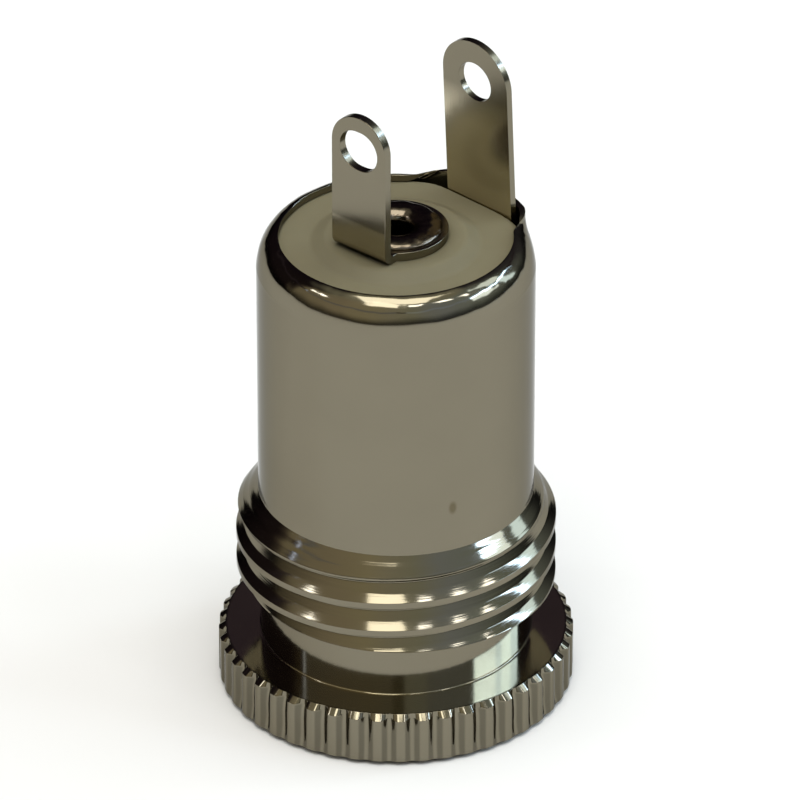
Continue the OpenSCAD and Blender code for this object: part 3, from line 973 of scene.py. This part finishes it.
# Soft boxes: name, bearing right of the camera, elevation, width and height in degrees as seen from the jack,
# radiance, colour, and whether the metal mirrors it
LAMPS = (
    ("Fill", 0, 88, 80, 80, 0.55, "FFFFFF", False),
    ("Ceiling", 0, 87, 31, 28, 4.0, "FFFCF4", True),
    ("Key", -15, 63, 18, 18, 4.6, "FFFCF4", True),
    ("Window", 81, 30, 23, 16, 3.9, "D1EAFF", False),
    ("Window end", 108, 27, 11, 24, 3.8, "D1EAFF", True),
    ("Window top", 108, 47, 16, 14, 3.2, "DCEBF6", True),
    *[
        (f"Ceiling spot {k}", bearing, elevation, 6, 6, 9, "F4F6FF", True)
        for k, bearing, elevation in ((1, 23, 62), (2, 54.5, 56.7), (3, 77.6, 49), (4, -80.5, 48))
    ],
)


def build_lamps(stage):
    """The soft boxes, all turned to the jack's middle."""
    for name, bearing, elevation, width, height, radiance, colour, mirrored in LAMPS:
        lamp = bpy.data.lights.new(name, "AREA")
        lamp.shape = "RECTANGLE"
        lamp.size = 2 * stage.lamp_distance * math.tan(math.radians(width / 2))
        lamp.size_y = 2 * stage.lamp_distance * math.tan(math.radians(height / 2))
        lamp.energy = radiance * math.pi * lamp.size * lamp.size_y
        lamp.color = linear(colour)[:3]
        obj = bpy.data.objects.new(name, lamp)
        direction = sight(stage.camera_azimuth + math.radians(bearing), math.radians(elevation))
        obj.location = direction * stage.lamp_distance
        look(obj, Vector((0, 0, 8 * MM)))
        obj.visible_glossy = mirrored
        bpy.context.scene.collection.objects.link(obj)


# The room round the stage as polished metal shows it: (degrees right of the camera, sRGB colour)
ROOM = (
    (-180, "211827"), (-104, "2E2628"), (-98, "5A5048"), (-92, "B0A68C"), (-53, "C4B89E"),
    (-24, "CDC4A4"), (-7, "C5C0AB"), (14, "BDBEAB"), (38, "B5BDC5"), (70, "ADB8B5"),
    (122, "8C9492"), (140, "54545A"), (180, "211827"),
)
OVERHEAD = ((-180, "C1BFAA"), (180, "C1BFAA"))
# A row of windows and lit walls 31.5 to 35 degrees up, as shares of the brightest
WINDOW_ROW = (
    (-180, "080608"), (-87, "7480A0"), (-84.5, "1E1F21"), (-3, "030303"),
    (7, "34383C"), (26, "2C3038"), (69, "B0D0FF"), (126, "080608"),
)
# The window itself, 21 to 35 degrees up
PANES = ((-180, "000000"), (69, "E2F1FF"), (93, "000000"))
# The room's layers: colours, how they change between bearings, brightness, how each covers the one before, and its
# edges as (first, last, share at first, share at last) in sines of the elevation
LAYERS = (
    (ROOM, "LINEAR", 1.0, "MIX", [(0.0, 0.36, 0.14, 1.0)]),
    (OVERHEAD, "LINEAR", 1.0, "MIX", [(0.8, 0.96, 0.0, 1.0)]),
    (WINDOW_ROW, "CONSTANT", 22.0, "MIX", [(0.522, 0.528, 0.0, 1.0), (0.566, 0.572, 1.0, 0.0)]),
    (PANES, "CONSTANT", 4.0, "ADD", [(0.35, 0.37, 0.0, 1.0), (0.562, 0.572, 1.0, 0.0)]),
)


def build_world(stage):
    """A dim room: warm and lighter in front, dark behind, with an olive ceiling; even grey for matt surfaces."""
    world = bpy.data.worlds.new("Dim room")
    bpy.context.scene.world = world
    world.use_nodes = True
    tree = world.node_tree
    tree.nodes.clear()
    place = add_node(tree, "TexCoord").outputs["Generated"]
    dot = {"operation": "DOT_PRODUCT"}
    ahead = add_node(tree, "VectorMath", dot, [place, sight(stage.camera_azimuth, 0)])
    right = add_node(tree, "VectorMath", dot, [place, sight(stage.camera_azimuth + math.pi / 2, 0)])
    bearing = add_node(tree, "Math", {"operation": "ARCTAN2"}, [right, ahead])
    share = add_node(tree, "MapRange", inputs=[bearing, -math.pi, math.pi])
    up = add_node(tree, "SeparateXYZ", inputs=[place]).outputs["Z"]
    room = linear("000000")
    for colours, change, gain, cover, edges in LAYERS:
        ramp = add_node(tree, "ValToRGB", inputs=[share])
        ramp.color_ramp.interpolation = change
        stops = ramp.color_ramp.elements
        for k, (degrees, colour) in enumerate(colours):
            stop = stops[k] if k < 2 else stops.new(degrees / 360 + 0.5)
            stop.position = degrees / 360 + 0.5
            stop.color = linear(colour)
        shown = add_node(tree, "VectorMath", {"operation": "SCALE"}, [ramp, gain])
        mask = 1.0
        for edge in edges:
            mask = add_node(tree, "Math", MULTIPLY, [add_node(tree, "MapRange", EASED, [up, *edge]), mask])
        room = add_node(tree, "Mix", {**COLOURS, "blend_type": cover}, [mask, room, shown])
    mirrored = add_node(tree, "Background", inputs={"Color": room})
    even = add_node(tree, "Background", inputs={"Color": linear("959595")})
    ray = add_node(tree, "LightPath").outputs["Is Glossy Ray"]
    mix = add_node(tree, "MixShader", inputs=[ray, even, mirrored])
    add_node(tree, "OutputWorld", inputs={"Surface": mix})


def build_camera(stage):
    """Long lens from above, aimed so that the jack stands a little left of the middle."""
    scene = bpy.context.scene
    data = bpy.data.cameras.new("Camera")
    data.lens = stage.camera_lens
    data.sensor_width = 36
    data.clip_start = 0.01
    camera = bpy.data.objects.new("Camera", data)
    scene.collection.objects.link(camera)
    direction = sight(stage.camera_azimuth, stage.camera_elevation)
    side = sight(stage.camera_azimuth + math.pi / 2, 0)
    upwards = direction.cross(side)
    base = Vector((0, 0, stage.target_height))
    camera.location = base + direction * stage.camera_distance
    look(camera, base + side * stage.drift + upwards * stage.rise)
    scene.camera = camera


def build_floor(finishes):
    """A sheet of white card under the jack."""
    mesh = bmesh.new()
    bmesh.ops.create_grid(mesh, x_segments=4, y_segments=4, size=FLOOR_HALF)
    data = bpy.data.meshes.new("Floor")
    mesh.to_mesh(data)
    mesh.free()
    floor = bpy.data.objects.new("Floor", data)
    data.materials.append(floor_card(finishes))
    bpy.context.scene.collection.objects.link(floor)


class JACK_OT_stage(bpy.types.Operator):
    """Build the floor, the camera, the lamps and the room"""

    bl_idname = "jack.stage"
    bl_label = "Stage"

    def execute(self, context):
        scene = context.scene
        scene.view_settings.view_transform = "Standard"
        build_floor(scene.jack_finishes)
        build_camera(scene.jack_stage)
        build_world(scene.jack_stage)
        build_lamps(scene.jack_stage)
        return {"FINISHED"}


# -------- add-on

OPERATORS = (JACK_OT_shell, JACK_OT_insulator, JACK_OT_pin, JACK_OT_terminals, JACK_OT_stage)


class JACK_PT_panel(bpy.types.Panel):
    """Lists the jack's pieces and their sizes"""

    bl_idname = "JACK_PT_panel"
    bl_label = "Dc barrel jack"
    bl_space_type = "VIEW_3D"
    bl_region_type = "UI"
    bl_category = "Jack"

    def draw(self, context):
        layout = self.layout
        for operator in OPERATORS:
            layout.operator(operator.bl_idname)
        for name in GROUPS:
            group = getattr(context.scene, name)
            column = layout.column()
            for key in group.__annotations__:
                column.prop(group, key)


GROUPS = {
    "jack_shell": JackShellSizes,
    "jack_inner": JackInnerSizes,
    "jack_finishes": JackFinishes,
    "jack_stage": JackStage,
}
CLASSES = (*GROUPS.values(), *OPERATORS, JACK_PT_panel)


def register():
    for item in CLASSES:
        bpy.utils.register_class(item)
    for name, group in GROUPS.items():
        setattr(bpy.types.Scene, name, PointerProperty(type=group))


def unregister():
    for name in GROUPS:
        delattr(bpy.types.Scene, name)
    for item in reversed(CLASSES):
        bpy.utils.unregister_class(item)


def main():
    """Builds every piece and the stage."""
    register()
    bpy.ops.jack.shell()
    bpy.ops.jack.insulator()
    bpy.ops.jack.pin()
    bpy.ops.jack.terminals()
    bpy.ops.jack.stage()


if __name__ == "__main__":
    main()
